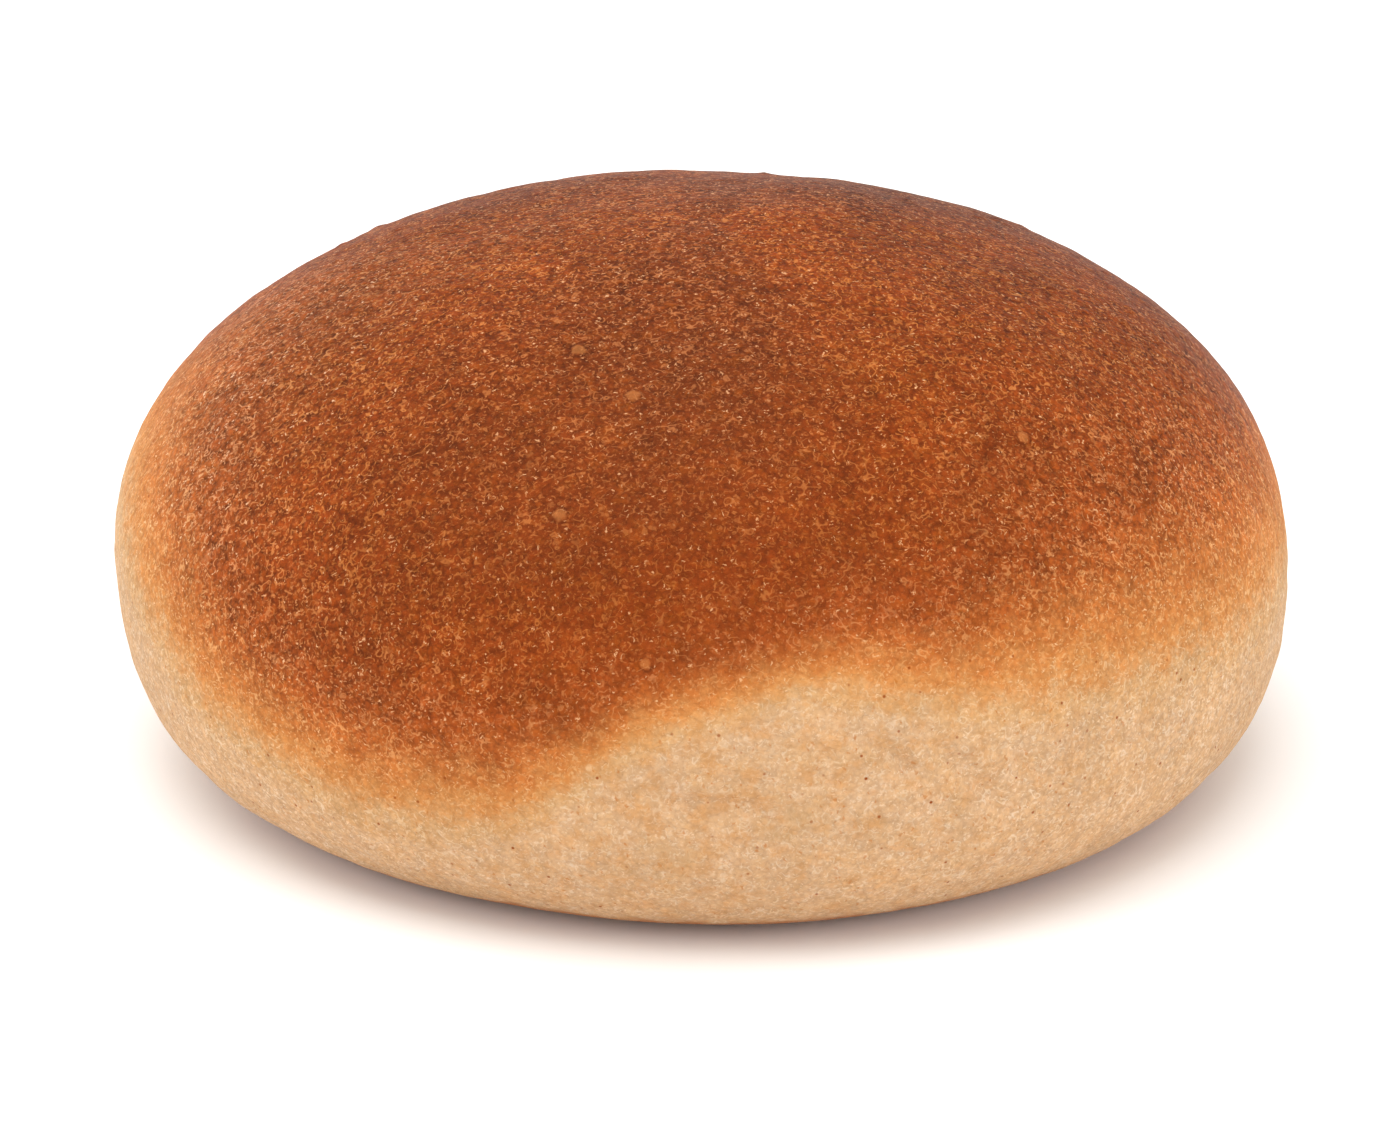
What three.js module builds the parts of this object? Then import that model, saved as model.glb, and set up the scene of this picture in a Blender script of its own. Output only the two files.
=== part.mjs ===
// A soft round bread roll: one baked piece with a domed crown, a bulging skirt and a flat base.
// Millimetres, +Z up. The origin is the middle of the flat base; -Y is the side that leaned on
// a neighbouring roll in the oven.
import * as THREE from "three";
import { mergeVertices } from "three/addons/utils/BufferGeometryUtils.js";

// Driving dimensions.
const WIDTH = 97.9; // across the widest girth, along X
const DEPTH = 95; // front to back, along Y
const HEIGHT = 47.5; // base to crown
const GIRTH_HEIGHT = 18.2; // how high the widest girth lies
const BASE_SHARE = 0.706; // the flat base's radius, as a share of the girth's
const CROWN_POWER = 2.05; // fullness of the dome: 2 is an ellipse, more is squarer
const SKIRT_POWER = 2.34; // fullness of the curve from the girth down to the base

// Fineness of the faceted surface.
const SEGMENTS = 84; // round the girth
const CROWN_STEPS = 24; // from the girth to the top
const SKIRT_STEPS = 10; // from the base's rim to the girth

// How this roll differs from a perfectly turned one.
const LEAN = 0.044; // sideways shift towards -X per millimetre above the girth
const CROWN_TILT = 0.6; // the +X shoulder stands this much higher than the middle
const CROWN_SADDLE = 2.5; // the shoulders along X are fuller, and those along Y lower
const PLAN_LOBES = [
  // Slow swellings round the girth, each a share of the radius, peaking at its turn in degrees.
  { lobes: 2, share: 0.0095, turn: 2 },
  { lobes: 3, share: 0.0081, turn: -39 },
  { lobes: 4, share: 0.0075, turn: 8 },
];
const KISS = {
  // The shallow flat where the roll pressed against its neighbour.
  turn: -78, // degrees round from +X
  height: 15, // its middle above the base
  depth: 0.7,
  spread: 24, // degrees each way
  rise: 11, // millimetres each way
};
const SWELLS = [
  // Broad, low undulations of the risen dough: waves along X and Y.
  { length: [46, 61], height: 0.22, start: 0.9 },
  { length: [-33, 38], height: 0.16, start: 2.3 },
  { length: [27, -52], height: 0.12, start: 4.1 },
];
const SHOULDERS = [
  // Places on the crown where the dough rose a little higher; each is longer along Y than X.
  { at: [11.1, 14], height: 0.7, spread: 6.8 },
  { at: [-25.3, 14], height: 0.5, spread: 9 },
];

const CRUST = new THREE.MeshStandardMaterial({
  color: 0xb4652f,
  roughness: 0.62,
  metalness: 0,
});

// A bell curve that is 1 at zero and fades over the given spread.
function bell(distance, spread) {
  return Math.exp(-((distance / spread) ** 2));
}

// The half outline of the turned roll, from the middle of the base out and up to the crown.
// Its radius is 1 at the girth, and its height is in millimetres.
function halfOutline() {
  const points = [new THREE.Vector2(0, 0)];
  for (let i = 0; i <= SKIRT_STEPS; i++) {
    const t = (Math.PI / 2) * (1 - i / SKIRT_STEPS);
    const out = Math.cos(t) ** (2 / SKIRT_POWER);
    const down = Math.sin(t) ** (2 / SKIRT_POWER);
    points.push(
      new THREE.Vector2(
        BASE_SHARE + (1 - BASE_SHARE) * out,
        GIRTH_HEIGHT * (1 - down),
      ),
    );
  }
  for (let i = 1; i < CROWN_STEPS; i++) {
    const t = (Math.PI / 2) * (i / CROWN_STEPS);
    const out = Math.cos(t) ** (2 / CROWN_POWER);
    const up = Math.sin(t) ** (2 / CROWN_POWER);
    points.push(
      new THREE.Vector2(out, GIRTH_HEIGHT + (HEIGHT - GIRTH_HEIGHT) * up),
    );
  }
  points.push(new THREE.Vector2(0, HEIGHT));
  return points;
}

// Moves one point of the turned shape, whose girth has radius 1, to where the real dough rose.
function asRisen(point) {
  const { x, y, z } = point;
  const turn = Math.atan2(y, x);
  const crown = Math.max(0, (z - GIRTH_HEIGHT) / (HEIGHT - GIRTH_HEIGHT));
  const offBase = Math.min(1, z / GIRTH_HEIGHT);

  let radiusScale = 1;
  for (const { lobes, share, turn: peak } of PLAN_LOBES) {
    const peakAngle = THREE.MathUtils.degToRad(peak);
    radiusScale += share * Math.cos(lobes * (turn - peakAngle));
  }
  const fromKiss = THREE.MathUtils.radToDeg(
    THREE.MathUtils.euclideanModulo(
      turn - THREE.MathUtils.degToRad(KISS.turn) + Math.PI,
      2 * Math.PI,
    ) - Math.PI,
  );
  const pressed =
    bell(fromKiss, KISS.spread) * bell(z - KISS.height, KISS.rise) * offBase;
  radiusScale -= (KISS.depth / (DEPTH / 2)) * pressed * Math.hypot(x, y);

  let rise = crown * (CROWN_TILT * x + CROWN_SADDLE * (x * x - y * y));
  const flatX = (x * WIDTH) / 2;
  const flatY = (y * DEPTH) / 2;
  for (const { length, height, start } of SWELLS) {
    const phase = 2 * Math.PI * (flatX / length[0] + flatY / length[1]) + start;
    rise += crown * height * Math.sin(phase);
  }
  for (const { at, height, spread } of SHOULDERS) {
    const near = bell(flatX - at[0], spread) * bell(flatY - at[1], 2 * spread);
    rise += crown * height * near;
  }
  return new THREE.Vector3(
    flatX * radiusScale - LEAN * (z - GIRTH_HEIGHT),
    flatY * radiusScale,
    z + rise,
  );
}

// The whole roll as one closed surface, standing on its base with the base's middle at the origin.
function rollGeometry() {
  const turned = new THREE.LatheGeometry(halfOutline(), SEGMENTS);
  turned.rotateX(Math.PI / 2);
  turned.deleteAttribute("normal");
  turned.deleteAttribute("uv");
  const places = turned.getAttribute("position");
  for (let i = 0; i < places.count; i++) {
    const place = new THREE.Vector3().fromBufferAttribute(places, i);
    places.setXYZ(i, ...asRisen(place).toArray());
  }
  turned.computeBoundingBox();
  const middle = turned.boundingBox.getCenter(new THREE.Vector3());
  turned.translate(-middle.x, -middle.y, -turned.boundingBox.min.z);
  const closed = mergeVertices(turned, 1e-4);
  closed.computeVertexNormals();
  return closed;
}

const roll = new THREE.Group();
const breadRoll = new THREE.Mesh(rollGeometry(), CRUST);
breadRoll.name = "bread_roll";
roll.add(breadRoll);

export default roll;
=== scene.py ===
"""A soft round bread roll on a pale studio floor.

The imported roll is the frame. One finished skin, made here, stands for it: a cage of quads is
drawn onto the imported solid, smoothed, and raised into lumps, blisters and creases. Its crust is
painted by how far each point lies above or below the line where the oven's browning stops.
Everything is in metres, with +Z up and the neighbouring roll's side towards -Y.
"""

import logging
import math
import random
from dataclasses import dataclass, field
from enum import Enum
from typing import Any, Iterable, Union

import bpy
import numpy as np
from mathutils import Matrix, Vector


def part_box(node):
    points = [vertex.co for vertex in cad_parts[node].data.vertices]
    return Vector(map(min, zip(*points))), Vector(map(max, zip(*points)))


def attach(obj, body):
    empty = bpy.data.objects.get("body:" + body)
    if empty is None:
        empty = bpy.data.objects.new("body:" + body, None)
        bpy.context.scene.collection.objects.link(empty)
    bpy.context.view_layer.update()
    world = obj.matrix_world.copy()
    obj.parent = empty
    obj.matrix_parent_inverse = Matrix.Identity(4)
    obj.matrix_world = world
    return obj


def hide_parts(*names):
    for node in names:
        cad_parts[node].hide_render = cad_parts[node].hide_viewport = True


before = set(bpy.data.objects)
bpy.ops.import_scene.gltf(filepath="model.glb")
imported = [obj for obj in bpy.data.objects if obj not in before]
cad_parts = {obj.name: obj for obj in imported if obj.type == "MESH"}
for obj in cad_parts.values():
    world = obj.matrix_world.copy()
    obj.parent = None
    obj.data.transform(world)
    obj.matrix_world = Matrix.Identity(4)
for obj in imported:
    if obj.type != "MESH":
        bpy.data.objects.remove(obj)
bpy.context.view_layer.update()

log = logging.getLogger("bread_roll")

MM = 0.001
Colour = tuple[float, float, float, float]


class Slot(Enum):
    """The record's material slots."""

    CRUST = "crust"


class Side(Enum):
    """The six sides of the cage, as (axis, sign), before it is rounded."""

    CROWN = (2, 1)
    UNDERSIDE = (2, -1)
    RIGHT = (0, 1)
    LEFT = (0, -1)
    BACK = (1, 1)
    FRONT = (1, -1)


def linear(colour: str) -> Colour:
    """Turns a colour as a screen shows it into the light that it stands for.

    Args:
        colour: The colour as six hexadecimal digits.

    Returns:
        Red, green and blue as shares of white light, then 1 for solid.
    """
    shown = [int(colour[i : i + 2], 16) / 255 for i in (0, 2, 4)]
    light = [c / 12.92 if c <= 0.04045 else ((c + 0.055) / 1.055) ** 2.4 for c in shown]
    return (*light, 1.0)


# ---- Shader building ----


class Flow:
    """What one socket of a node tree gives, with the operators of arithmetic."""

    def __init__(self, shader: "Shader", socket: bpy.types.NodeSocket) -> None:
        """Wraps a socket.

        Args:
            shader: The tree that the socket is in.
            socket: The output socket.
        """
        self.shader = shader
        self.socket = socket

    def __add__(self, other: "Term") -> "Flow":
        """The sum."""
        return self.shader.maths("ADD", self, other)

    __radd__ = __add__

    def __sub__(self, other: "Term") -> "Flow":
        """The difference."""
        return self.shader.maths("SUBTRACT", self, other)

    def __rsub__(self, other: "Term") -> "Flow":
        """The difference from a number on the left."""
        return self.shader.maths("SUBTRACT", other, self)

    def __mul__(self, other: "Term") -> "Flow":
        """The product."""
        return self.shader.maths("MULTIPLY", self, other)

    def __truediv__(self, other: "Term") -> "Flow":
        """The quotient."""
        return self.shader.maths("DIVIDE", self, other)

    def __pow__(self, other: "Term") -> "Flow":
        """The power."""
        return self.shader.maths("POWER", self, other)

    def __abs__(self) -> "Flow":
        """The size without the sign."""
        return self.shader.maths("ABSOLUTE", self)

    def step(self, low: "Term", high: "Term") -> "Flow":
        """Rises smoothly from 0 at low to 1 at high, or falls if low is above high.

        Args:
            low: Where the result is 0.
            high: Where the result is 1.

        Returns:
            A number from 0 to 1.
        """
        inputs = {"Value": self, "From Min": low, "From Max": high}
        settings = {"interpolation_type": "SMOOTHSTEP"}
        return self.shader.flow("ShaderNodeMapRange", settings, inputs, "Result")


Term = Union[Flow, float, int]


class Shader:
    """A material and the nodes that make its finish."""

    def __init__(self, name: str) -> None:
        """Makes an empty material with a Principled surface.

        Args:
            name: The material's name.
        """
        self.material = bpy.data.materials.new(name)
        self.material.use_nodes = True
        self.tree = self.material.node_tree
        self.tree.nodes.clear()
        self.surface = self.node("ShaderNodeBsdfPrincipled", {}, {})
        output = self.node("ShaderNodeOutputMaterial", {}, {})
        self.tree.links.new(self.surface.outputs["BSDF"], output.inputs["Surface"])
        self.place = self.object_place()

    def node(self, kind: str, settings: dict[str, Any], inputs: dict[Any, Any]) -> Any:
        """Adds one node.

        Args:
            kind: The node's type.
            settings: The node's own settings; "stops" holds a ramp's (place, colour) pairs.
            inputs: What goes into each socket, by name or number: a Flow or a constant.

        Returns:
            The new node.
        """
        node = self.tree.nodes.new(kind)
        for key, value in settings.items():
            if key == "stops":
                self._set_stops(node.color_ramp, value)
            elif key == "interpolation":
                node.color_ramp.interpolation = value
            else:
                setattr(node, key, value)
        for key, value in inputs.items():
            if isinstance(value, Flow):
                self.tree.links.new(value.socket, node.inputs[key])
            else:
                node.inputs[key].default_value = value
        return node

    @staticmethod
    def _set_stops(ramp: bpy.types.ColorRamp, stops: list[tuple[float, Colour]]) -> None:
        """Gives a ramp its stops.

        Args:
            ramp: The ramp, which has two stops when it is new.
            stops: The place and colour of each stop, from 0 to 1.
        """
        while len(ramp.elements) < len(stops):
            ramp.elements.new(1.0)
        for element, (place, colour) in zip(ramp.elements, stops):
            element.position = place
            element.color = colour

    def flow(
        self, kind: str, settings: dict[str, Any], inputs: dict[Any, Any], output: Any = 0
    ) -> Flow:
        """Adds one node and gives one of its outputs.

        Args:
            kind: The node's type.
            settings: The node's own settings.
            inputs: What goes into each socket.
            output: The output's name or number.

        Returns:
            What that output gives.
        """
        return Flow(self, self.node(kind, settings, inputs).outputs[output])

    def maths(self, operation: str, *terms: Term) -> Flow:
        """Does one sum on numbers.

        Args:
            operation: The Math node's operation.
            terms: What it works on.

        Returns:
            The result.
        """
        return self.flow("ShaderNodeMath", {"operation": operation}, dict(enumerate(terms)))

    def vector(self, operation: str, inputs: dict[Any, Any], output: Any = 0) -> Flow:
        """Does one sum on vectors.

        Args:
            operation: The Vector Math node's operation.
            inputs: What goes into each socket.
            output: The output's name or number.

        Returns:
            The resulting vector, or number.
        """
        settings = {"operation": operation}
        return self.flow("ShaderNodeVectorMath", settings, inputs, output)

    def mix(self, share: Term, first: Any, second: Any, blend: str = "MIX") -> Flow:
        """Mixes two colours.

        Args:
            share: How much of the second colour there is, from 0 to 1.
            first: The first colour.
            second: The second colour.
            blend: How they are combined.

        Returns:
            The mixed colour.
        """
        settings = {"data_type": "RGBA", "blend_type": blend, "clamp_factor": True}
        return self.flow("ShaderNodeMix", settings, {0: share, 6: first, 7: second}, 2)

    def shade(self, colour: Flow, strength: Flow) -> Flow:
        """Makes a colour darker where the strength is below 1, and lighter where it is above."""
        grey = self.flow("ShaderNodeCombineXYZ", {}, {0: strength, 1: strength, 2: strength})
        return self.mix(1.0, colour, grey, "MULTIPLY")

    def object_place(self) -> Flow:
        """The surface point in the roll's own frame, in millimetres."""
        metres = self.flow("ShaderNodeTexCoord", {}, {}, "Object")
        return self.vector("SCALE", {0: metres, "Scale": 1 / MM})

    def axes(self) -> tuple[Flow, Flow, Flow]:
        """The surface point's x, y and z, in millimetres."""
        split = self.node("ShaderNodeSeparateXYZ", {}, {0: self.place})
        return tuple(Flow(self, split.outputs[i]) for i in range(3))

    def moved(self, shift: tuple[float, float, float]) -> Flow:
        """The surface point moved, so that a second pattern differs from the first."""
        return self.vector("ADD", {0: self.place, 1: shift})

    def noise(self, size: float, detail: float, rough: float, shift: float) -> Flow:
        """Soft irregular noise about 0.5.

        Args:
            size: How far apart its swells are, in millimetres.
            detail: How many finer layers lie on top.
            rough: How strong the finer layers are.
            shift: Moves the pattern, so that two noises differ.

        Returns:
            A number, mostly from 0.2 to 0.8.
        """
        inputs = {
            "Vector": self.moved((shift, shift * 0.7, -shift)),
            "Scale": 1 / size,
            "Detail": detail,
            "Roughness": rough,
        }
        return self.flow("ShaderNodeTexNoise", {}, inputs, "Fac")

    def dots(self, gap: float, shift: float) -> tuple[Flow, Flow]:
        """Scattered points.

        Args:
            gap: The usual distance between points, in millimetres.
            shift: Moves the pattern.

        Returns:
            The distance to the nearest point in millimetres, and a random number that is
            the same all round each point.
        """
        return self._cells(self.moved((shift, -shift, shift * 0.6)), gap)

    def swirled(self, size: float, reach: float) -> Flow:
        """The surface point pushed about at random, which curls what is drawn by it.

        Args:
            size: How far apart the swirls are, in millimetres.
            reach: How far points are pushed, in millimetres.

        Returns:
            The moved point.
        """
        push = self.flow("ShaderNodeTexNoise", {}, {"Vector": self.place, "Scale": 1 / size}, 1)
        centred = self.vector("SUBTRACT", {0: push, 1: (0.5, 0.5, 0.5)})
        # The noise seldom strays more than a quarter from its middle.
        far = self.vector("SCALE", {0: centred, "Scale": reach * 4})
        return self.vector("ADD", {0: self.place, 1: far})

    def strokes(
        self, place: Flow, gap: float, stretch: float, turn: tuple[float, float, float]
    ) -> tuple[Flow, Flow]:
        """Scattered short strokes that all run one way.

        Args:
            place: The surface point, or that point swirled.
            gap: The usual distance from stroke to stroke across them, in millimetres.
            stretch: How many times longer than thick each stroke is.
            turn: Which way the strokes run, as turns about x, y and z in radians.

        Returns:
            The distance from the nearest stroke's middle, in millimetres across it, and a
            random number for each stroke.
        """
        settings = {"vector_type": "TEXTURE"}
        inputs = {"Vector": place, "Rotation": turn, "Scale": (stretch, 1.0, 1.0)}
        return self._cells(self.flow("ShaderNodeMapping", settings, inputs), gap)

    def _cells(self, place: Flow, gap: float) -> tuple[Flow, Flow]:
        """Scattered points, each the middle of a cell.

        Args:
            place: The point that is asked about.
            gap: The usual distance between the scattered points, in millimetres.

        Returns:
            The distance to the nearest of them, and a random number for its cell.
        """
        node = self.node("ShaderNodeTexVoronoi", {}, {"Vector": place, "Scale": 1 / gap})
        split = self.node("ShaderNodeSeparateColor", {}, {0: Flow(self, node.outputs["Color"])})
        return Flow(self, node.outputs["Distance"]) * gap, Flow(self, split.outputs[0])


# ---- Finishes ----


@dataclass(frozen=True)
class BrownLine:
    """Where the browning stops, on one side of the roll.

    Attributes:
        turn: Degrees round from +X, towards +Y.
        height: Height of the middle of the change from brown to pale, in millimetres.
        width: How far above that the crust is fully brown, in millimetres.
    """

    turn: float
    height: float
    width: float


@dataclass(frozen=True)
class BakeTone:
    """The crust's colours at one level of browning.

    Attributes:
        level: Widths above the brown line; below it the level is negative.
        skin: The crust's own colour there, as six hexadecimal digits.
        thread: The colour there of the light threads on the crust.
    """

    level: float
    skin: str
    thread: str


@dataclass(frozen=True)
class Patch:
    """A round patch of the crust.

    Attributes:
        place: Its middle, in millimetres.
        radius: How far it spreads, in millimetres.
    """

    place: tuple[float, float, float]
    radius: float


@dataclass(frozen=True)
class Spot(Patch):
    """A patch with a colour of its own.

    Attributes:
        strength: How much of that colour it has, from 0 to 1.
    """

    strength: float


Spots = tuple[Spot, ...]


@dataclass(frozen=True)
class Cast(Patch):
    """A broad patch where the crust's red, green and blue are each scaled.

    Attributes:
        light: How much of the red, green and blue light it leaves at its middle.
    """

    light: tuple[float, float, float]


@dataclass(frozen=True)
class CrustFinish:
    """Baked crust: red-brown above, golden then cream below, with grain and bran flecks.

    Attributes:
        brown_lines: Where the browning stops, round the roll from -180 to 180 degrees.
        tones: The colour at each level of browning.
        sheltered: Where the neighbouring roll kept the heat off, so that the grain is finer.
        grey_patches: The greyer patches low on the side that touched the neighbouring roll.
        casts_and_sheen: The broad patches where the brown crust's colour is scaled; the greyer
            one on the left shoulder is painted sheen.
        highest: No height or width in brown_lines is more than this, in millimetres.
        underside: The colour of the face that lay on the tray.
        rim: The colour of the thin darker band round the tray's face: partly crust browned by the
            tray, partly painted contact shade.
        painted_glint: The colour of the painted highlights: tiny bright flakes where the finest
            ridges would catch the lamps.
        amber: The colour of the less baked patches of the brown crust.
        speck: The colour of the small soft specks on the pale crust.
        bran: The colour of the bran flecks.
        grey_patch: The colour of the greyer patches.
        bubble: The colour of the bubbles that stand out.
        blotch: The colour of the small darker blotches on the pale crust.
        tray_mottle: The colour of the lighter mottles on the tray's face.
        specular: How strongly the crust mirrors light.
        sheen: How strongly its finest fibres catch light from the side.
        sheen_roughness: How widely they scatter it.
        relief: How high the painted grain stands, in millimetres.
    """

    brown_lines: tuple[BrownLine, ...] = (
        # Round 180 and -165 degrees the line lies high and wide, which pales the left rim: partly
        # its own paler crust, partly painted sheen.
        BrownLine(-180, 32.7, 7.8),
        BrownLine(-165, 30.0, 7.4),
        BrownLine(-150, 22.2, 6.8),
        BrownLine(-134, 16.9, 5.2),
        BrownLine(-120, 14.9, 4.7),
        BrownLine(-107, 16.9, 4.0),
        BrownLine(-99, 21.0, 3.0),
        BrownLine(-91, 24.3, 2.6),
        BrownLine(-83, 26.0, 2.3),
        BrownLine(-75, 26.3, 2.9),
        BrownLine(-66, 25.1, 3.7),
        BrownLine(-58, 25.4, 5.0),
        BrownLine(-48, 25.7, 6.0),
        BrownLine(-36, 25.5, 6.9),
        BrownLine(-20, 25.4, 7.0),
        BrownLine(0, 24.9, 6.6),
        BrownLine(25, 22.0, 4.0),
        BrownLine(50, 27.5, 2.6),
        BrownLine(70, 28.5, 2.4),
        BrownLine(95, 20.0, 4.0),
        BrownLine(120, 16.5, 5.0),
        BrownLine(145, 20.5, 5.0),
        BrownLine(165, 26.0, 5.0),
        BrownLine(180, 32.7, 7.8),
    )
    tones: tuple[BakeTone, ...] = (
        BakeTone(-2.0, "C09D7C", "DCC7B0"),
        BakeTone(-1.0, "BC9163", "DABC98"),
        BakeTone(-0.45, "BA7A42", "D8A873"),
        BakeTone(0.0, "AD6530", "D69B63"),
        BakeTone(0.5, "9A4F20", "CE8C54"),
        BakeTone(1.0, "883F16", "C47D4C"),
        BakeTone(1.7, "7B350F", "BC733E"),
        BakeTone(3.0, "76300A", "BB6D31"),
        BakeTone(7.0, "662B0B", "B06A3C"),
    )
    sheltered: Patch = Patch((0.0, -42.0, 28.0), 50.0)
    grey_patches: Spots = (
        Spot((7.3, -46.0, 14.0), 2.6, 0.4),
        Spot((-3.0, -46.5, 10.0), 2.2, 0.25),
    )
    casts_and_sheen: tuple[Cast, ...] = (
        Cast((30.0, 10.0, 42.0), 38.0, (0.76, 0.77, 0.76)),
        Cast((-20.0, 8.0, 44.0), 25.0, (0.84, 0.89, 0.96)),
        # Painted sheen: the left shoulder greyer and bluer, as if it caught grazing light from
        # the left.
        Cast((-38.0, -9.0, 34.5), 25.0, (0.92, 1.05, 1.32)),
        Cast((31.0, -28.0, 29.0), 14.0, (0.87, 0.87, 0.84)),
        Cast((25.0, -36.5, 28.0), 9.0, (0.86, 0.84, 0.78)),
        Cast((-21.0, -33.0, 31.0), 16.0, (0.88, 0.89, 0.93)),
        Cast((13.5, -20.5, 39.0), 8.0, (1.18, 1.28, 1.3)),
    )
    highest: float = 40.0
    underside: str = "A66C38"
    amber: str = "964A10"
    rim: str = "A2591F"
    painted_glint: str = "EBBA8C"
    speck: str = "A9621F"
    bran: str = "843A06"
    grey_patch: str = "B08A5E"
    bubble: str = "C07A42"
    blotch: str = "BA834C"
    tray_mottle: str = "C08F58"
    specular: float = 0.05
    sheen: float = 0.035
    sheen_roughness: float = 0.35
    relief: float = 0.12

    def material(self, bubbles: Spots) -> bpy.types.Material:
        """Builds the crust.

        Args:
            bubbles: The bubbles that stand out, which are paler than the crust round them.

        Returns:
            The material.
        """
        shader = Shader("baked_crust")
        level = self._level(shader)
        brown = level.step(-0.6, 1.2)
        open_air = self._away(shader, self.sheltered).step(0.0, 1.1)
        # How strong the grain is: least on the sheltered side, most on the open brown crown.
        rough = 0.62 + open_air * (0.45 + brown * 0.4)
        threads, painted_glints = self._threads(shader)
        crumbs = self._crumbs(shader)
        skin, tint = self._baked_colours(shader, level, brown, open_air)
        amber = shader.noise(size=1.2, detail=2, rough=0.6, shift=121.0).step(0.45, 0.75) * brown
        skin = shader.mix(amber * 0.3, skin, linear(self.amber))
        # Crumb tops lighter and the gaps between them darker: partly the crust's own colour,
        # partly painted shade in the gaps.
        colour = shader.shade(skin, 1 + crumbs * (0.5 + brown * 0.58) * rough)
        colour = shader.mix(threads * rough * (0.9 + brown * 0.04), colour, tint)
        # Painted highlights: tiny bright flakes laid into the crust's colour where its finest
        # ridges would catch the lamps.
        colour = shader.mix(painted_glints * (0.2 + rough * 0.4), colour, linear(self.painted_glint))
        colour = self._lay_casts_and_sheen(shader, colour, brown)
        colour = self._bran(shader, colour, brown)
        colour = self._lay_grey_patches(shader, colour)
        colour = self._bubbles(shader, colour, bubbles)
        colour = self._tray_face(shader, colour)
        inputs = shader.surface.inputs
        shader.tree.links.new(colour.socket, inputs["Base Color"])
        roughness = 0.78 - brown * 0.2 - threads * 0.12
        shader.tree.links.new(roughness.socket, inputs["Roughness"])
        inputs["Specular IOR Level"].default_value = self.specular
        inputs["Sheen Weight"].default_value = self.sheen
        inputs["Sheen Roughness"].default_value = self.sheen_roughness
        relief = self._relief(shader, crumbs, painted_glints)
        shader.tree.links.new(relief.socket, inputs["Normal"])
        return shader.material

    def _level(self, shader: Shader) -> Flow:
        """How brown the crust is, in widths above the brown line.

        Args:
            shader: The tree to build in.

        Returns:
            The level: negative where pale, 0 on the line, above 1 where fully brown.
        """
        x, y, z = shader.axes()
        around = shader.maths("ARCTAN2", y, x) / math.tau + 0.5
        stops = [
            (
                (line.turn + 180) / 360,
                (line.height / self.highest, line.width / self.highest, 0.0, 1.0),
            )
            for line in self.brown_lines
        ]
        settings = {"stops": stops, "interpolation": "CARDINAL"}
        line = shader.flow("ShaderNodeValToRGB", settings, {0: around}, "Color")
        split = shader.node("ShaderNodeSeparateColor", {}, {0: line})
        height = Flow(shader, split.outputs[0]) * self.highest
        width = Flow(shader, split.outputs[1]) * self.highest
        wander = (shader.noise(size=13, detail=2, rough=0.5, shift=3.1) - 0.5) * 2.6
        ragged = (shader.noise(size=2.6, detail=3, rough=0.6, shift=9.7) - 0.5) * 0.38
        return (z + wander - height) / width + ragged

    def _baked_colours(
        self, shader: Shader, level: Flow, brown: Flow, open_air: Flow
    ) -> tuple[Flow, Flow]:
        """The colours of the crust and of its threads, with darker and lighter patches.

        Args:
            shader: The tree to build in.
            level: The level of browning.
            brown: How brown the crust is, from 0 to 1.
            open_air: How far from the sheltered side the point is, from 0 to 1.

        Returns:
            The crust's own colour, and its threads' colour.
        """
        lowest = self.tones[0].level
        span = self.tones[-1].level - lowest
        mottle = (shader.noise(size=2.3, detail=2, rough=0.55, shift=61.0) - 0.5) * 2.0
        freckle = (shader.noise(size=0.8, detail=2, rough=0.6, shift=5.3) - 0.5) * 1.9
        off_line = 0.28 + level.step(0.3, 2.1) * 0.72 + level.step(0.3, -1.5) * 0.17
        mottled = shader.maths("MAXIMUM", level, -1.5) + (mottle + freckle) * off_line
        share = (mottled - lowest) / span
        patchy = shader.noise(size=8, detail=3, rough=0.55, shift=21.0) - 0.5
        patches = patchy * (0.4 + brown * 0.4) + 1
        blotchy = shader.noise(size=1.7, detail=2, rough=0.6, shift=211.0)
        blotched = blotchy.step(0.42, 0.7) * (1 - brown) * (0.62 - open_air * 0.5)
        colours = []
        for part in ("skin", "thread"):
            stops = [
                ((tone.level - lowest) / span, linear(getattr(tone, part)))
                for tone in self.tones
            ]
            settings = {"stops": stops, "interpolation": "LINEAR"}
            ramp = shader.flow("ShaderNodeValToRGB", settings, {0: share}, "Color")
            shaded = shader.shade(ramp, patches)
            colours.append(shader.mix(blotched, shaded, linear(self.blotch)))
        return tuple(colours)

    def _threads(self, shader: Shader) -> tuple[Flow, Flow]:
        """Short curled threads of light skin, and the rims of small burst bubbles.

        Args:
            shader: The tree to build in.

        Returns:
            How much of a thread each point is, from 0 to 1, and the same for the brightest
            threads, which carry painted highlights.
        """
        # The rims of burst bubbles.
        rim_radius, rim_width = 0.3, 0.13
        away, chance = shader.dots(gap=1.9, shift=19.0)
        wobble = (shader.noise(size=0.4, detail=0, rough=0.5, shift=51.0) - 0.5) * 0.5
        rim = abs(away + wobble - rim_radius).step(rim_width, 0.0)
        threads = rim * chance.step(0.5, 1.0) * 0.7
        # Wandering threads, broken up at random.
        bends = shader.noise(size=1.0, detail=1, rough=0.5, shift=33.0) * 28
        wave = shader.maths("SINE", bends)
        away, chance = shader.dots(gap=0.6, shift=33.0)
        ridge = shader.maths("MAXIMUM", wave, 0.0) ** 3 * chance.step(0.35, 0.95)
        threads = shader.maths("MAXIMUM", threads, ridge * 0.8)
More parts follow.
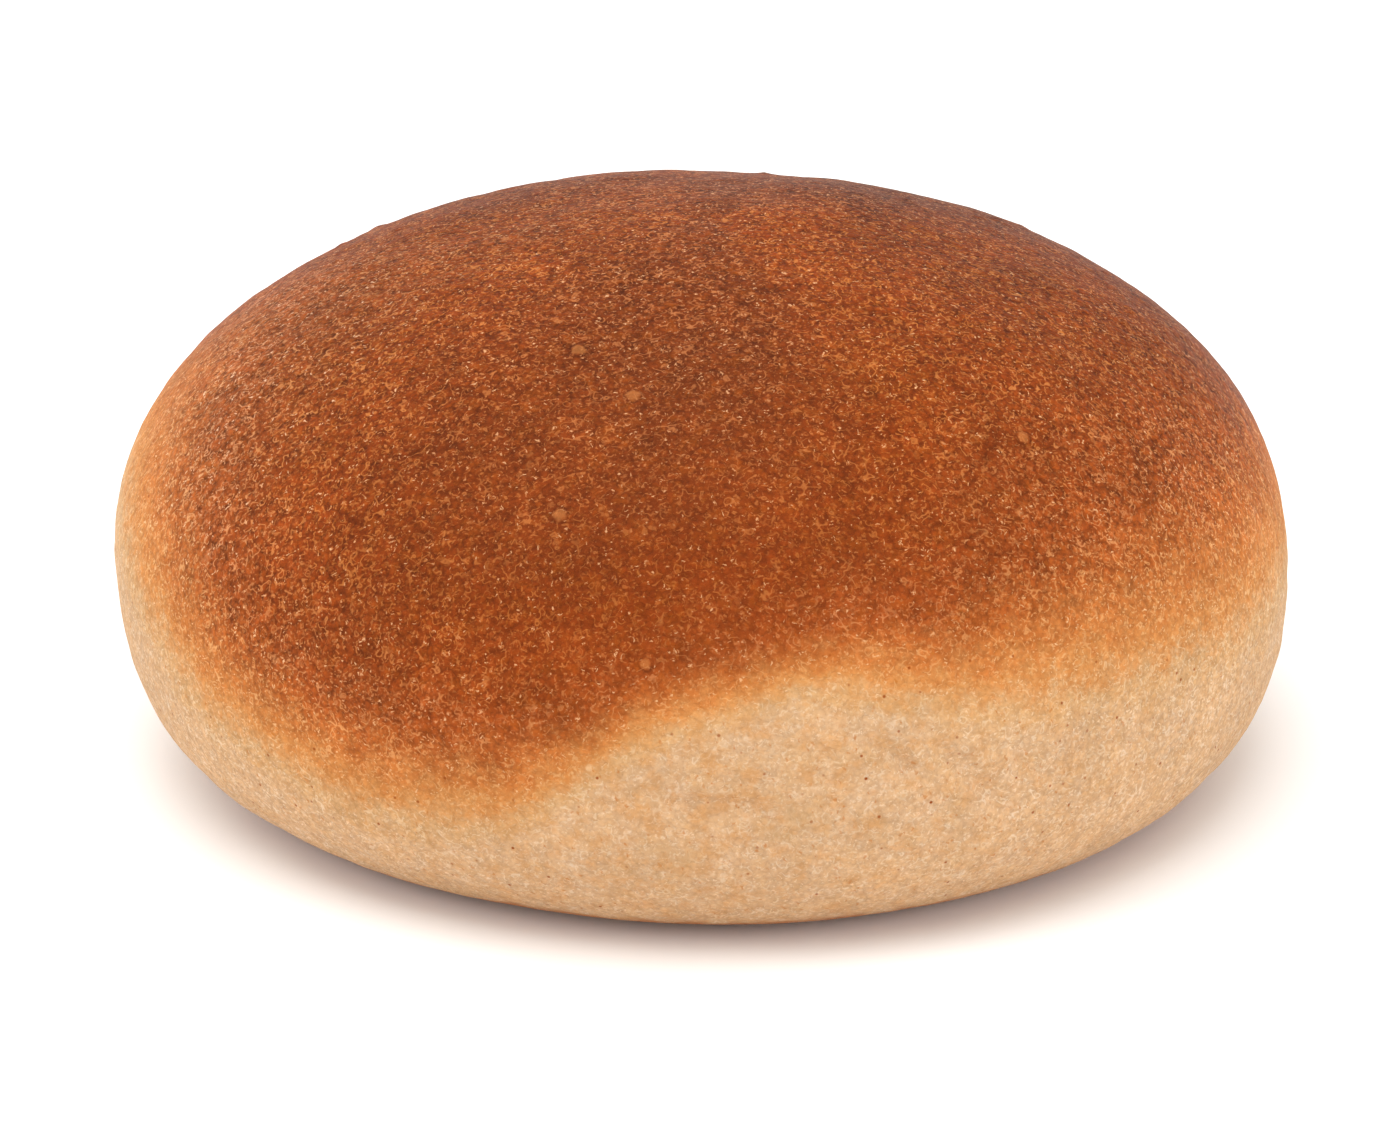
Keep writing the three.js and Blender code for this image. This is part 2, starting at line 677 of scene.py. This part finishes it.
        # Short threads that run three ways; the brightest of them carry painted highlights.
        swirled = shader.swirled(size=0.5, reach=0.2)
        painted_glints = 0.0
        for turn in ((0.3, 0.2, 0.4), (0.9, -0.7, 1.6), (-0.5, 0.6, 2.6)):
            away, chance = shader.strokes(swirled, gap=0.34, stretch=3.0, turn=turn)
            stroke = away.step(0.12, 0.03) * (0.15 + chance * 0.8)
            threads = shader.maths("MAXIMUM", threads, stroke)
            painted_glint = away.step(0.09, 0.03) * chance.step(0.75, 1.0)
            painted_glints = shader.maths("MAXIMUM", painted_glints, painted_glint)
        return threads, painted_glints

    def _crumbs(self, shader: Shader) -> Flow:
        """The crust's fine unevenness: crumbs of several sizes with gaps between them.

        Args:
            shader: The tree to build in.

        Returns:
            The height, about 0 and mostly within 0.5 either way.
        """
        away, chance = shader.dots(gap=0.5, shift=7.0)
        fine = shader.noise(size=0.27, detail=1, rough=0.6, shift=15.0) - 0.5
        coarse = shader.noise(size=0.95, detail=1, rough=0.5, shift=27.0) - 0.5
        height = (0.26 - away) * 0.9 + (chance - 0.5) * 0.28 + fine * 0.8 + coarse * 0.7
        deepest = -0.36
        return shader.maths("MAXIMUM", height, deepest)

    def _bran(self, shader: Shader, colour: Flow, brown: Flow) -> Flow:
        """Scatters orange specks and dark bran flecks, which show on the pale crust.

        Args:
            shader: The tree to build in.
            colour: The colour underneath.
            brown: How brown the crust is, from 0 to 1.

        Returns:
            The colour with its specks and flecks.
        """
        pale = 1 - brown * 0.7
        swirled = shader.swirled(size=0.5, reach=0.2)
        away, chance = shader.strokes(swirled, gap=0.5, stretch=2.0, turn=(0.4, 1.1, 0.2))
        specks = away.step(0.15, 0.05) * chance.step(0.35, 1.0) * 0.6
        colour = shader.mix(specks * pale, colour, linear(self.speck))
        away, chance = shader.dots(gap=1.75, shift=71.0)
        flecks = away.step(0.19, 0.07) * (0.5 + chance * 0.5)
        return shader.mix(flecks * pale, colour, linear(self.bran))

    def _lay_casts_and_sheen(self, shader: Shader, colour: Flow, brown: Flow) -> Flow:
        """Scales the brown crust's colour in broad patches, one of which is painted sheen.

        Args:
            shader: The tree to build in.
            colour: The colour underneath.
            brown: How brown the crust is, from 0 to 1.

        Returns:
            The colour with its casts.
        """
        for cast in self.casts_and_sheen:
            share = self._away(shader, cast).step(1.0, 0.3) * brown
            light = shader.mix(share, (1.0, 1.0, 1.0, 1.0), (*cast.light, 1.0))
            colour = shader.mix(1.0, colour, light, "MULTIPLY")
        return colour

    def _lay_grey_patches(self, shader: Shader, colour: Flow) -> Flow:
        """Lays faint greyer patches low on the side that touched the neighbouring roll.

        Args:
            shader: The tree to build in.
            colour: The colour underneath.

        Returns:
            The colour with its patches.
        """
        uneven_edge = (shader.noise(size=1.6, detail=2, rough=0.6, shift=111.0) - 0.5) * 2.6
        for grey_patch in self.grey_patches:
            away = self._away(shader, grey_patch) + uneven_edge
            share = away.step(1.2, 0.2) * grey_patch.strength
            colour = shader.mix(share, colour, linear(self.grey_patch))
        return colour

    def _bubbles(self, shader: Shader, colour: Flow, bubbles: Spots) -> Flow:
        """Pales the bubbles that stand out of the crown, and paints shade in a ring round each,
        where a hollow at its foot would be shaded.

        Args:
            shader: The tree to build in.
            colour: The colour underneath.
            bubbles: The bubbles.

        Returns:
            The colour with its bubbles.
        """
        uneven = (shader.noise(size=0.7, detail=1, rough=0.5, shift=131.0) - 0.5) * 0.9
        for bubble in bubbles:
            away = self._away(shader, bubble) + uneven
            # Painted shade: a darker ring round each bubble, as if in a hollow at its foot.
            ring_shade = abs(away - 1.15).step(0.3, 0.0)
            colour = shader.shade(colour, 1 - ring_shade * 0.22)
            share = away.step(1.05, 0.6) * bubble.strength
            colour = shader.mix(share, colour, linear(self.bubble))
        return colour

    @staticmethod
    def _away(shader: Shader, patch: Patch) -> Flow:
        """How far each point is from the middle of a patch, in the patch's radii."""
        aside = shader.vector("SUBTRACT", {0: shader.place, 1: patch.place})
        return shader.vector("LENGTH", {0: aside}, "Value") / patch.radius

    def _tray_face(self, shader: Shader, colour: Flow) -> Flow:
        """Browns the face that lay on the tray, and darkens a thin band just above it: partly
        tray browning, partly painted contact shade.

        Args:
            shader: The tree to build in.
            colour: The colour underneath.

        Returns:
            The colour with the tray's face browned.
        """
        z = shader.axes()[2]
        lifted = z + (shader.noise(size=3, detail=3, rough=0.6, shift=97.0) - 0.5) * 2.6
        # A thin darker band up to about 3 mm above the floor: partly browning from the tray,
        # partly painted contact shade.
        rim = lifted.step(2.8, 1.5) * 0.7
        colour = shader.mix(rim, colour, linear(self.rim))
        touched = lifted.step(0.7, 0.0)
        mottle = shader.noise(size=2.2, detail=3, rough=0.6, shift=101.0).step(0.3, 0.75)
        tray = shader.mix(mottle, linear(self.underside), linear(self.tray_mottle))
        return shader.mix(touched * 0.9, colour, tray)

    def _relief(self, shader: Shader, crumbs: Flow, painted_glints: Flow) -> Flow:
        """The fine grain that is too small for the mesh.

        Args:
            shader: The tree to build in.
            crumbs: The height of the crumbs.
            painted_glints: How much of a painted highlight each point is; these threads are
                raised a little too.

        Returns:
            The bent surface normal.
        """
        inputs = {
            "Strength": 1.0,
            "Distance": self.relief * MM,
            "Height": crumbs + painted_glints * 0.3,
        }
        return shader.flow("ShaderNodeBump", {}, inputs, "Normal")


@dataclass(frozen=True)
class FloorFinish:
    """A smooth white studio floor.

    Attributes:
        colour: Its colour, as six hexadecimal digits.
        roughness: How widely it scatters light, from 0 to 1.
    """

    colour: str = "F9F9F8"
    roughness: float = 0.9

    def material(self) -> bpy.types.Material:
        """Builds the floor's finish.

        Returns:
            The material.
        """
        shader = Shader("studio_floor")
        inputs = shader.surface.inputs
        inputs["Base Color"].default_value = linear(self.colour)
        inputs["Roughness"].default_value = self.roughness
        inputs["Specular IOR Level"].default_value = 0.0
        return shader.material


# ---- Mesh building ----


def deselect_all() -> None:
    """Leaves edit mode and deselects every object."""
    if bpy.context.object and bpy.context.object.mode != "OBJECT":
        bpy.ops.object.mode_set(mode="OBJECT")
    bpy.ops.object.select_all(action="DESELECT")


def only(piece: bpy.types.Object) -> None:
    """Makes one object the only selected and active one.

    Args:
        piece: The object.
    """
    deselect_all()
    piece.select_set(True)
    bpy.context.view_layer.objects.active = piece


def points_of(piece: bpy.types.Object) -> np.ndarray:
    """Gives every vertex's place.

    Args:
        piece: The mesh object, in object mode.

    Returns:
        One row for each vertex, in metres.
    """
    places = np.empty(len(piece.data.vertices) * 3)
    piece.data.vertices.foreach_get("co", places)
    return places.reshape(-1, 3)


def select_points(piece: bpy.types.Object, chosen: np.ndarray) -> None:
    """Selects vertices and nothing else, and enters edit mode.

    Args:
        piece: The mesh object, in object mode.
        chosen: One truth value for each vertex.
    """
    mesh = piece.data
    mesh.polygons.foreach_set("select", np.zeros(len(mesh.polygons), dtype=bool))
    mesh.edges.foreach_set("select", np.zeros(len(mesh.edges), dtype=bool))
    mesh.vertices.foreach_set("select", chosen)
    bpy.ops.object.mode_set(mode="EDIT")
    bpy.ops.mesh.select_mode(type="VERT")


def apply_modifier(piece: bpy.types.Object, kind: str, **settings: Any) -> None:
    """Adds a modifier to an object and applies it.

    Args:
        piece: The mesh object.
        kind: The modifier's type.
        settings: The modifier's own settings.
    """
    only(piece)
    modifier = piece.modifiers.new(kind.lower(), kind)
    for key, value in settings.items():
        setattr(modifier, key, value)
    bpy.ops.object.modifier_apply(modifier=modifier.name)


def weigh(piece: bpy.types.Object, name: str, weights: np.ndarray) -> str:
    """Gives a piece a vertex group.

    Args:
        piece: The mesh object.
        name: The group's name.
        weights: One weight from 0 to 1 for each vertex.

    Returns:
        The group's name.
    """
    group = piece.vertex_groups.new(name=name)
    steps = np.round(np.clip(weights, 0, 1) * 100).astype(int)
    for step in np.unique(steps[steps > 0]):
        members = np.nonzero(steps == step)[0].tolist()
        group.add(members, step / 100, "REPLACE")
    return group.name


@dataclass(frozen=True)
class Lumps:
    """One layer of unevenness in the dough's skin.

    Attributes:
        name: What the layer is.
        size: How far apart the lumps are, in millimetres.
        height: From the lowest hollow to the highest lump, in millimetres.
        depth: How many finer layers lie on top.
    """

    name: str
    size: float
    height: float
    depth: int


@dataclass(frozen=True)
class Blister:
    """A small bubble under the crust.

    Attributes:
        x: Its place along X, in millimetres.
        y: Its place along Y, in millimetres.
        radius: Its radius, in millimetres.
        height: How far it stands proud, in millimetres.
    """

    x: float
    y: float
    radius: float
    height: float


@dataclass(frozen=True)
class Crease:
    """A shallow fold in the skin, from one point to another.

    Attributes:
        start: (turn in degrees, height in millimetres) of one end.
        end: The same for the other end.
        width: How far it spreads to each side, in millimetres.
    """

    start: tuple[float, float]
    end: tuple[float, float]
    width: float


@dataclass
class BakedRoll:
    """The roll's finished skin.

    Attributes:
        name: The piece's name.
        node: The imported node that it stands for.
        body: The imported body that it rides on.
        quads: The cage's quads along each of its edges.
        levels: How many times the cage's quads are halved.
        lumps: The layers of unevenness.
        blisters: The bubbles that stand out.
        bubble_paleness: How much paler the bubbles are than the crust, from 0 to 1.
        small_blisters: How many lesser bubbles are scattered.
        small_reach: How far from the crown's middle they lie, in millimetres.
        small_radii: Their least and greatest radius, in millimetres.
        small_slopes: Their least and greatest height, as a share of the radius.
        crown_height: All bubbles lie above this, in millimetres.
        seed: Fixes where the lesser bubbles lie.
        creases: The folds where the roll pressed on its neighbour.
        crease_depth: How deep the folds are, in millimetres.
        girth: The girth's usual radius, which makes a turn a distance, in millimetres.
        weld: Corners of the solid that lie closer than this are one, in millimetres.
        lift: How far above the solid the skin lies before it is smoothed, in millimetres.
        smoothing: How many times it is smoothed.
        settled: Below this height the skin lies on the floor, in millimetres.
        clear: Above this height it is free of the floor, in millimetres.
        finish: The crust.
    """

    name: str = "baked_roll"
    node: str = "bread_roll"
    body: str = "root"
    quads: int = 32
    levels: int = 2
    lumps: tuple[Lumps, ...] = (
        Lumps("swells", 15.0, 0.3, 1),
        Lumps("lumps", 5.0, 0.22, 1),
        Lumps("pebbles", 1.9, 0.11, 1),
    )
    blisters: tuple[Blister, ...] = (
        Blister(-10.0, -20.8, 0.65, 0.22),
        Blister(-5.5, -26.3, 0.6, 0.2),
        Blister(-11.4, -36.1, 0.62, 0.24),
        Blister(25.8, -25.7, 0.6, 0.22),
        Blister(-4.1, -45.0, 0.5, 0.15),
    )
    bubble_paleness: float = 0.36
    small_blisters: int = 50
    small_reach: float = 36.0
    small_radii: tuple[float, float] = (0.5, 0.85)
    small_slopes: tuple[float, float] = (0.1, 0.25)
    crown_height: float = 20.0
    seed: int = 11
    creases: tuple[Crease, ...] = (
        Crease((-67.0, 19.5), (-58.5, 11.0), 1.3),
        Crease((-73.0, 20.0), (-68.0, 16.0), 1.0),
        Crease((-96.0, 15.5), (-82.0, 14.5), 1.5),
    )
    crease_depth: float = 0.55
    girth: float = 48.0
    weld: float = 0.01
    lift: float = 0.05
    smoothing: int = 12
    settled: float = 0.02
    clear: float = 2.5
    finish: CrustFinish = field(default_factory=CrustFinish)

    def build(self) -> bpy.types.Object:
        """Makes, shapes and dresses the roll.

        Returns:
            The finished piece, riding on its body.
        """
        low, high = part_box(self.node)
        piece = self._cage(low, high)
        self._draw_onto_solid(piece)
        self._roughen(piece)
        bubbles = self._raise_blisters(piece)
        self._press_creases(piece)
        self._rest_flat(piece)
        only(piece)
        bpy.ops.object.shade_smooth()
        piece.data.materials.append(self.finish.material(bubbles))
        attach(piece, self.body)
        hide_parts(self.node)
        return piece

    def _cage(self, low: Vector, high: Vector) -> bpy.types.Object:
        """Makes a rounded cage of quads about as big as the roll.

        Args:
            low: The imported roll's lowest corner.
            high: Its highest corner.

        Returns:
            The cage.
        """
        deselect_all()
        bpy.ops.mesh.primitive_cube_add(size=2)
        piece = bpy.context.object
        piece.name = self.name
        piece.data.name = self.name
        bpy.ops.object.mode_set(mode="EDIT")
        bpy.ops.mesh.select_all(action="SELECT")
        bpy.ops.mesh.subdivide(number_cuts=self.quads - 1)
        bpy.ops.object.mode_set(mode="OBJECT")
        self._lay_out(piece)
        centre = (low + high) / 2
        half = (high - low) / 2
        select_points(piece, np.ones(len(piece.data.vertices), dtype=bool))
        bpy.ops.transform.tosphere(value=1.0)
        bpy.ops.object.mode_set(mode="OBJECT")
        reach = np.linalg.norm(points_of(piece), axis=1).mean()
        piece.data.transform(Matrix.Diagonal((*(half / reach), 1.0)))
        piece.data.transform(Matrix.Translation(centre))
        return piece

    def _lay_out(self, piece: bpy.types.Object) -> None:
        """Unfolds the cage's six sides into one square map, side by side.

        Args:
            piece: The cage, still a cube.
        """
        spots = {
            Side.CROWN: (0.0, 0.5, 0.5, 0.5),
            Side.UNDERSIDE: (0.5, 0.5, 0.5, 0.5),
            Side.FRONT: (0.0, 0.25, 0.5, 0.25),
            Side.BACK: (0.5, 0.25, 0.5, 0.25),
            Side.LEFT: (0.0, 0.0, 0.5, 0.25),
            Side.RIGHT: (0.5, 0.0, 0.5, 0.25),
        }
        margin = 0.003
        mesh = piece.data
        while mesh.uv_layers:
            mesh.uv_layers.remove(mesh.uv_layers[0])
        layer = mesh.uv_layers.new(name="OFBake")
        for face in mesh.polygons:
            axis = max(range(3), key=lambda i: abs(face.normal[i]))
            side = Side((axis, 1 if face.normal[axis] > 0 else -1))
            left, bottom, width, height = spots[side]
            across, up = [i for i in range(3) if i != axis]
            flip = face.normal[axis] * (-1 if axis == 1 else 1)
            for corner in face.loop_indices:
                place = mesh.vertices[mesh.loops[corner].vertex_index].co
                u = 0.5 + 0.5 * place[across] * (1 if flip > 0 else -1)
                v = 0.5 + 0.5 * place[up]
                layer.data[corner].uv = (
                    left + margin + u * (width - 2 * margin),
                    bottom + margin + v * (height - 2 * margin),
                )

    def _draw_onto_solid(self, piece: bpy.types.Object) -> None:
        """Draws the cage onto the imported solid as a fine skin, without the solid's facets.

        Args:
            piece: The cage, which becomes the skin.
        """
        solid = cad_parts[self.node]
        only(solid)
        bpy.ops.object.duplicate()
        target = bpy.context.object
        bpy.ops.object.mode_set(mode="EDIT")
        bpy.ops.mesh.select_all(action="SELECT")
        bpy.ops.mesh.remove_doubles(threshold=self.weld * MM)
        bpy.ops.object.mode_set(mode="OBJECT")
        drawn = {"target": target, "wrap_method": "NEAREST_SURFACEPOINT"}
        apply_modifier(piece, "SHRINKWRAP", **drawn)
        apply_modifier(piece, "SUBSURF", levels=self.levels, uv_smooth="NONE")
        apply_modifier(piece, "SHRINKWRAP", offset=self.lift * MM, **drawn)
        apply_modifier(piece, "SMOOTH", factor=0.5, iterations=self.smoothing)
        deselect_all()
        bpy.data.objects.remove(target)

    def _roughen(self, piece: bpy.types.Object) -> None:
        """Lays the lumps over the skin, except where it touches the floor.

        Args:
            piece: The skin.
        """
        above = points_of(piece)[:, 2] / MM
        free = weigh(piece, "free", above / self.clear)
        for layer in self.lumps:
            texture = bpy.data.textures.new(layer.name, "CLOUDS")
            texture.noise_scale = layer.size * MM
            texture.noise_depth = layer.depth
            apply_modifier(
                piece,
                "DISPLACE",
                texture=texture,
                texture_coords="LOCAL",
                strength=layer.height * MM,
                mid_level=0.5,
                vertex_group=free,
            )

    def _raise_blisters(self, piece: bpy.types.Object) -> Spots:
        """Raises the bubbles under the crust.

        Args:
            piece: The skin.

        Returns:
            Where the bubbles that stand out are.
        """
        rng = random.Random(self.seed)
        blisters = list(self.blisters)
        for _ in range(self.small_blisters):
            turn = rng.uniform(0, math.tau)
            out = self.small_reach * math.sqrt(rng.random())
            radius = rng.uniform(*self.small_radii)
            height = radius * rng.uniform(*self.small_slopes)
            blisters.append(Blister(out * math.cos(turn), out * math.sin(turn), radius, height))
        places = points_of(piece) / MM
        upper = np.nonzero(places[:, 2] > self.crown_height)[0]
        rise = np.zeros(len(places))
        spots = []
        for blister in blisters:
            aside = places[upper, :2] - (blister.x, blister.y)
            centre = places[upper[np.argmin((aside**2).sum(1))]]
            away = np.linalg.norm(places - centre, axis=1) / blister.radius
            rise = np.maximum(rise, blister.height * np.clip(1 - away**2, 0, 1))
            spots.append(Spot(tuple(centre.tolist()), blister.radius, self.bubble_paleness))
        tallest = float(rise.max())
        group = weigh(piece, "blisters", rise / tallest)
        raised = tallest * MM
        apply_modifier(piece, "DISPLACE", strength=raised, mid_level=0.0, vertex_group=group)
        return tuple(spots[: len(self.blisters)])

    def _press_creases(self, piece: bpy.types.Object) -> None:
        """Presses the folds of the neighbour's side into the skin.

        Args:
            piece: The skin.
        """
        places = points_of(piece) / MM
        turn = np.degrees(np.arctan2(places[:, 1], places[:, 0]))
        along = math.radians(self.girth)
        spot = np.stack([turn * along, places[:, 2]], axis=1)
        depth = np.zeros(len(places))
        for crease in self.creases:
            start = np.array([crease.start[0] * along, crease.start[1]])
            end = np.array([crease.end[0] * along, crease.end[1]])
            run = end - start
            share = np.clip((spot - start) @ run / (run @ run), 0, 1)
            away = np.linalg.norm(spot - start - share[:, None] * run, axis=1)
            hollow = np.clip(1 - (away / crease.width) ** 2, 0, 1) ** 2
            depth = np.maximum(depth, hollow * np.sin(np.pi * (0.1 + 0.8 * share)))
        group = weigh(piece, "creases", depth)
        sunk = -self.crease_depth * MM
        apply_modifier(piece, "DISPLACE", strength=sunk, mid_level=0.0, vertex_group=group)

    def _rest_flat(self, piece: bpy.types.Object) -> None:
        """Flattens onto the floor what hangs below it.

        Args:
            piece: The skin.
        """
        below = points_of(piece)[:, 2] < self.settled * MM
        if below.any():
            select_points(piece, below)
            bpy.ops.transform.resize(value=(1, 1, 0), center_override=(0, 0, 0))
            bpy.ops.object.mode_set(mode="OBJECT")


# ---- Studio ----


@dataclass(frozen=True)
class SoftLight:
    """A large soft lamp that faces the roll.

    Attributes:
        name: The lamp's name.
        place: Where it stands, in metres.
        size: Its width and height, in metres.
        power: Its power in watts.
    """

    name: str
    place: tuple[float, float, float]
    size: tuple[float, float]
    power: float

    def build(self, target: Vector) -> bpy.types.Object:
        """Adds the lamp.

        Args:
            target: The point that it faces.

        Returns:
            The lamp's object.
        """
        data = bpy.data.lights.new(self.name, "AREA")
        data.shape = "RECTANGLE"
        data.size, data.size_y = self.size
        data.energy = self.power
        lamp = bpy.data.objects.new(self.name, data)
        lamp.location = self.place
        facing = target - Vector(self.place)
        lamp.rotation_euler = facing.to_track_quat("-Z", "Y").to_euler()
        lamp.visible_camera = False
        bpy.context.scene.collection.objects.link(lamp)
        return lamp


@dataclass
class Studio:
    """The floor, the light and the camera.

    Attributes:
        floor_radius: The round floor's radius, in metres.
        floor_sides: How many straight sides stand for its edge.
        world_light: The brightness of the white surroundings.
        elevation: How far the camera looks down, in degrees.
        distance: From the camera to the roll's middle, in metres.
        lens: The camera's focal length for Blender's own 36 mm sensor, in millimetres.
        nearest: Nothing nearer to it than this shows, in metres.
        middle: The height of the roll's middle, in metres.
        aside: How far right of the view's middle the roll's middle shows, in metres.
        above: How far above it the roll's middle shows, in metres.
        lights: The lamps.
    """

    floor_radius: float = 3.0
    floor_sides: int = 96
    world_light: float = 0.93
    elevation: float = 22.5
    distance: float = 0.6
    lens: float = 183.6
    nearest: float = 0.01
    middle: float = 0.02
    aside: float = 0.00079
    above: float = 0.00387
    lights: tuple[SoftLight, ...] = (
        SoftLight("top_light", (-0.1, -0.2, 1.08), (0.9, 0.9), 7.3),
        SoftLight("left_light", (-1.0, -0.4, 0.55), (0.6, 0.6), 3.3),
        SoftLight("rim_light", (-0.8, 0.5, 0.6), (0.5, 0.5), 1.3),
        SoftLight("right_light", (1.0, -0.5, 0.36), (0.6, 0.6), 3.7),
    )

    def build(self) -> None:
        """Builds the whole studio."""
        self._floor()
        self._world()
        target = Vector((0, 0, self.middle))
        for light in self.lights:
            light.build(target)
        self._camera(target)
        view = bpy.context.scene.view_settings
        view.view_transform = "Standard"
        view.look = "None"
        view.exposure = 0.0
        view.gamma = 1.0

    def _floor(self) -> None:
        """Lays the round floor."""
        deselect_all()
        bpy.ops.mesh.primitive_circle_add(
            vertices=self.floor_sides, radius=self.floor_radius, fill_type="NGON"
        )
        floor = bpy.context.object
        floor.name = "floor"
        floor.data.materials.append(FloorFinish().material())

    def _world(self) -> None:
        """Surrounds everything with even white light."""
        world = bpy.data.worlds.new("surroundings")
        world.use_nodes = True
        background = world.node_tree.nodes["Background"]
        background.inputs["Color"].default_value = (1.0, 1.0, 1.0, 1.0)
        background.inputs["Strength"].default_value = self.world_light
        bpy.context.scene.world = world

    def _camera(self, target: Vector) -> None:
        """Sets up the camera in front of the roll, looking a little down.

        Args:
            target: The roll's middle.
        """
        tilt = math.radians(self.elevation)
        back = Vector((0, -math.cos(tilt), math.sin(tilt)))
        up = Vector((0, math.sin(tilt), math.cos(tilt)))
        right = Vector((1, 0, 0))
        data = bpy.data.cameras.new("camera")
        data.lens = self.lens
        data.clip_start = self.nearest
        camera = bpy.data.objects.new("camera", data)
        camera.location = target + back * self.distance
        aim = target - right * self.aside - up * self.above
        facing = aim - camera.location
        camera.rotation_euler = facing.to_track_quat("-Z", "Y").to_euler()
        bpy.context.scene.collection.objects.link(camera)
        bpy.context.scene.camera = camera


def write_sizes(pieces: Iterable[bpy.types.Object]) -> None:
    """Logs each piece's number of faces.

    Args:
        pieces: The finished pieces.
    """
    for piece in pieces:
        log.info("%s: %d faces", piece.name, len(piece.data.polygons))


def main() -> None:
    """Builds the studio and the roll, and reports them."""
    logging.basicConfig(level=logging.INFO, format="%(name)s: %(message)s")
    Studio().build()
    roll = BakedRoll().build()
    write_sizes([roll])


if __name__ == "__main__":
    main()
